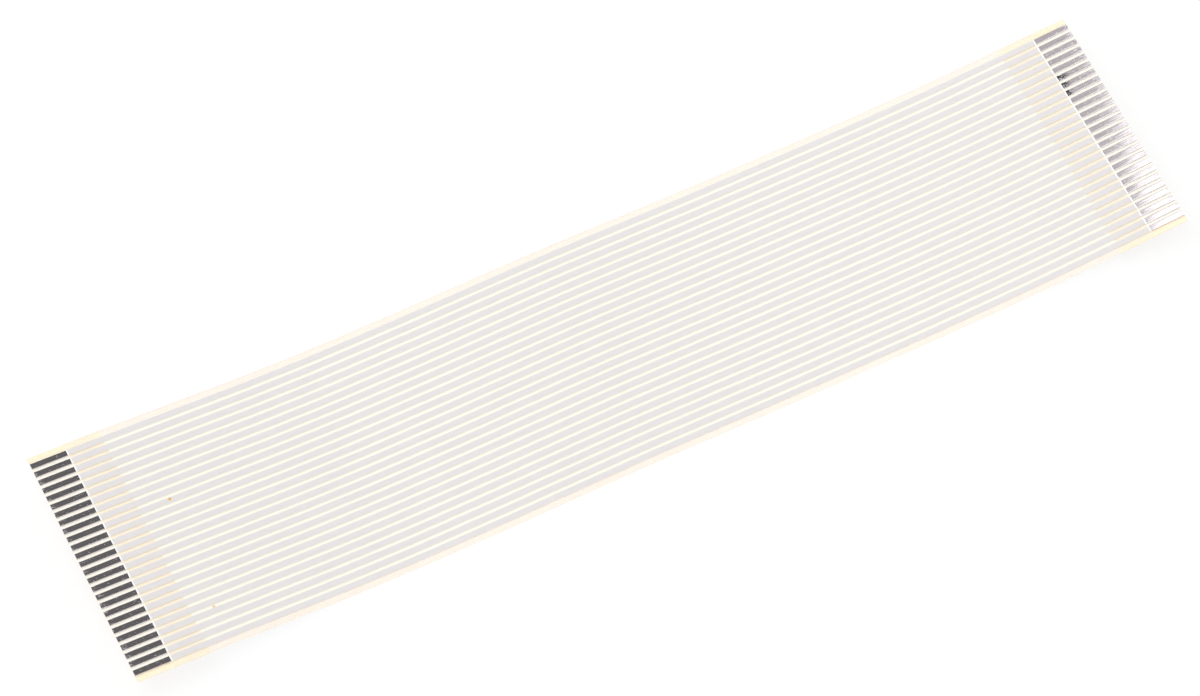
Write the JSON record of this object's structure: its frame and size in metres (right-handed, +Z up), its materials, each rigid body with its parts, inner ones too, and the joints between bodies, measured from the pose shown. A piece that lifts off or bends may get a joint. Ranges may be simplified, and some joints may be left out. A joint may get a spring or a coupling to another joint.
{
  "type": "flat flex cable",
  "caption": "Flat flex cable: flat conductors laminated between two translucent polyester films, bared on top at both ends over a stiffener.",
  "frame": {"origin": "on the surface that the cable lies on, under the middle of its length and width", "axes": "+X along the cable, +Y across it, +Z up, on the side that the contacts face"},
  "size_m": [0.1522, 0.0338, 0.0036],
  "materials": {
    "film": "translucent polyester film, smooth",
    "conductor": "tinned copper, bright, with fine lengthwise grain",
    "stiffener": "translucent polyester tape, satin"
  },
  "bodies": {
    "root": {"base_film": "film", "cover_film": "film", "conductor_01": "conductor", "conductor_02": "conductor", "conductor_03": "conductor", "conductor_04": "conductor", "conductor_05": "conductor", "conductor_06": "conductor", "conductor_07": "conductor", "conductor_08": "conductor", "conductor_09": "conductor", "conductor_10": "conductor", "conductor_11": "conductor", "conductor_12": "conductor", "conductor_13": "conductor", "conductor_14": "conductor", "conductor_15": "conductor", "conductor_16": "conductor", "conductor_17": "conductor", "conductor_18": "conductor", "conductor_19": "conductor", "conductor_20": "conductor", "conductor_21": "conductor", "conductor_22": "conductor", "conductor_23": "conductor", "conductor_24": "conductor", "conductor_25": "conductor", "conductor_26": "conductor", "left_stiffener": "stiffener", "right_stiffener": "stiffener"}
  },
  "joints": []
}
